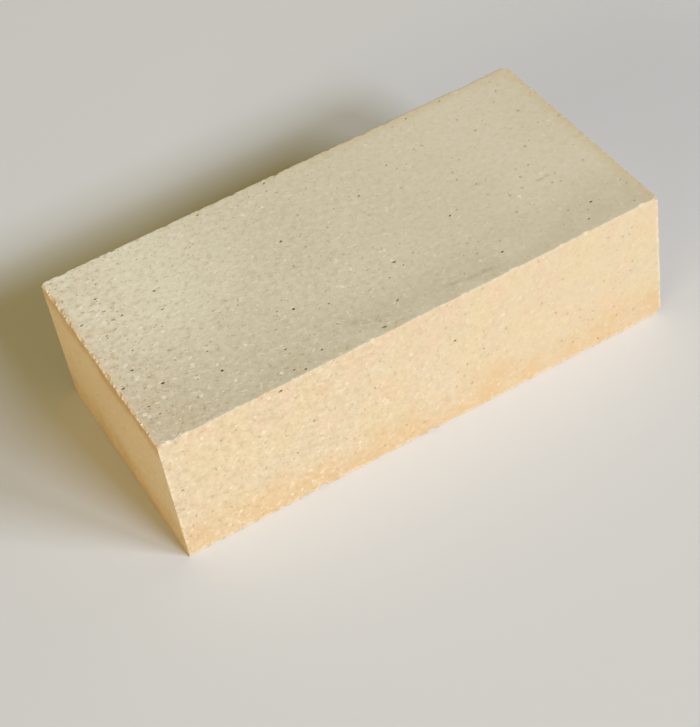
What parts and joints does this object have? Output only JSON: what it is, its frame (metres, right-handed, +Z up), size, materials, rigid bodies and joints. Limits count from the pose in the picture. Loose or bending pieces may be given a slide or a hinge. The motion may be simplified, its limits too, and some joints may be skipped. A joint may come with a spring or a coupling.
{
  "type": "firebrick",
  "caption": "Rectangular refractory firebrick of the standard straight format, a pressed and fired buff block for lining kilns, furnaces and stoves.",
  "frame": {"origin": "middle of the pressed face that the brick lies on", "axes": "+X along the brick's length, +Y across its width, +Z up from the face it lies on to the other pressed face"},
  "size_m": [0.23, 0.114, 0.065],
  "materials": {
    "fired_clay": "matte, fine-grained fired fireclay in warm buff with small open pores, pale grog grains and brown specks"
  },
  "bodies": {
    "root": {"firebrick": "fired_clay"}
  },
  "joints": []
}
